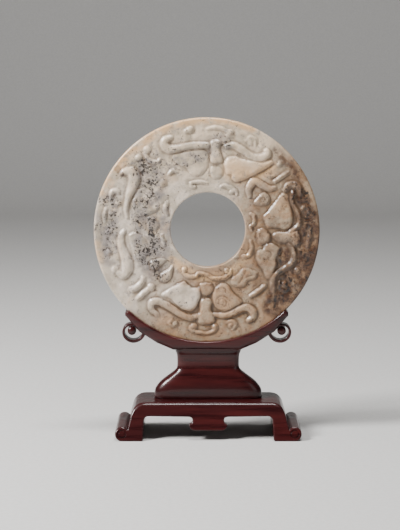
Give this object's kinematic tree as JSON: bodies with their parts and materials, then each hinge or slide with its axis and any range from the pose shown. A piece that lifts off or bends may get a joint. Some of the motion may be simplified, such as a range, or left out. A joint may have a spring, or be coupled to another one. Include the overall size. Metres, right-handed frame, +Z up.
{
  "type": "jade bi disc on a wooden stand",
  "caption": "Carved jade bi disc with a round central hole, standing upright in a dark hardwood cradle on a scroll-footed base.",
  "frame": {"origin": "on the surface that the feet rest on, straight below the middle of the disc", "axes": "+Z up, -Y the carved front of the disc, +X to the right seen from the front"},
  "size_m": [0.17, 0.0662, 0.24],
  "materials": {
    "jade": "polished, waxy, with russet clouds and dark specks",
    "rosewood": "dark red-brown hardwood, waxed and polished"
  },
  "bodies": {
    "root": {"jade_disc": "jade", "cradle": "rosewood", "scroll_base": "rosewood"}
  },
  "joints": []
}
